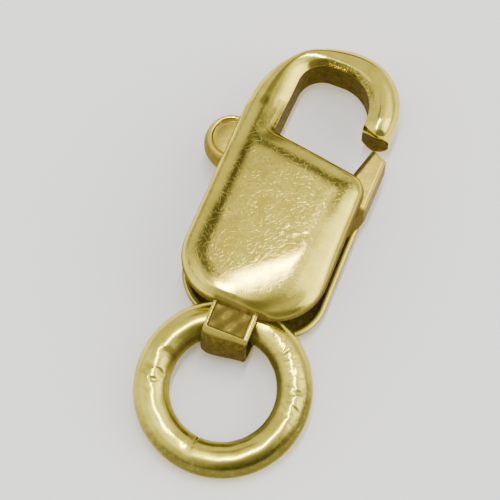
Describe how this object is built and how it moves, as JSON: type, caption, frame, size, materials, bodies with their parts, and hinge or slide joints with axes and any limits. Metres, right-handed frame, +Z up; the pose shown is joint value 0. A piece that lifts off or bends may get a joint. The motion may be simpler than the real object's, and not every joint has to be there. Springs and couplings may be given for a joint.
{
  "type": "lobster claw clasp",
  "caption": "Lobster-claw bracelet clasp in polished yellow gold, with a hollow case, solid hook, sprung gate with thumb tab, and a soldered jump ring in its tail strip.",
  "frame": {"origin": "middle of the underside of the whole object as it lies on its back, on the ground plane", "axes": "+Y along the clasp from the jump ring to the hook, +X towards the gate, +Z up through the case's thickness"},
  "size_m": [0.0074, 0.0164, 0.003],
  "materials": {
    "case_gold": "polished yellow gold with fine wear scratches on the flats",
    "lever_gold": "satin yellow gold, polished on the edges",
    "ring_gold": "polished yellow gold wire with plier marks"
  },
  "bodies": {
    "case": {"clasp_body": "case_gold", "pivot_pin": "case_gold"},
    "lever": {"lever": "lever_gold"},
    "ring": {"jump_ring": "ring_gold"}
  },
  "joints": [
    {"name": "lever_hinge", "type": "hinge", "parent": "case", "child": "lever", "pos_m": [0.00109, -0.00011, 0.0015], "axis": [0, 0, 1], "range_deg": [0, 22], "stiffness_Nm_per_rad": 0.0001, "springref_deg": -11.46},
    {"name": "ring_swing", "type": "hinge", "parent": "case", "child": "ring", "pos_m": [0.00052, -0.00261, 0.00145], "axis": [-1, 0, 0], "range_deg": [-4, 34]}
  ]
}
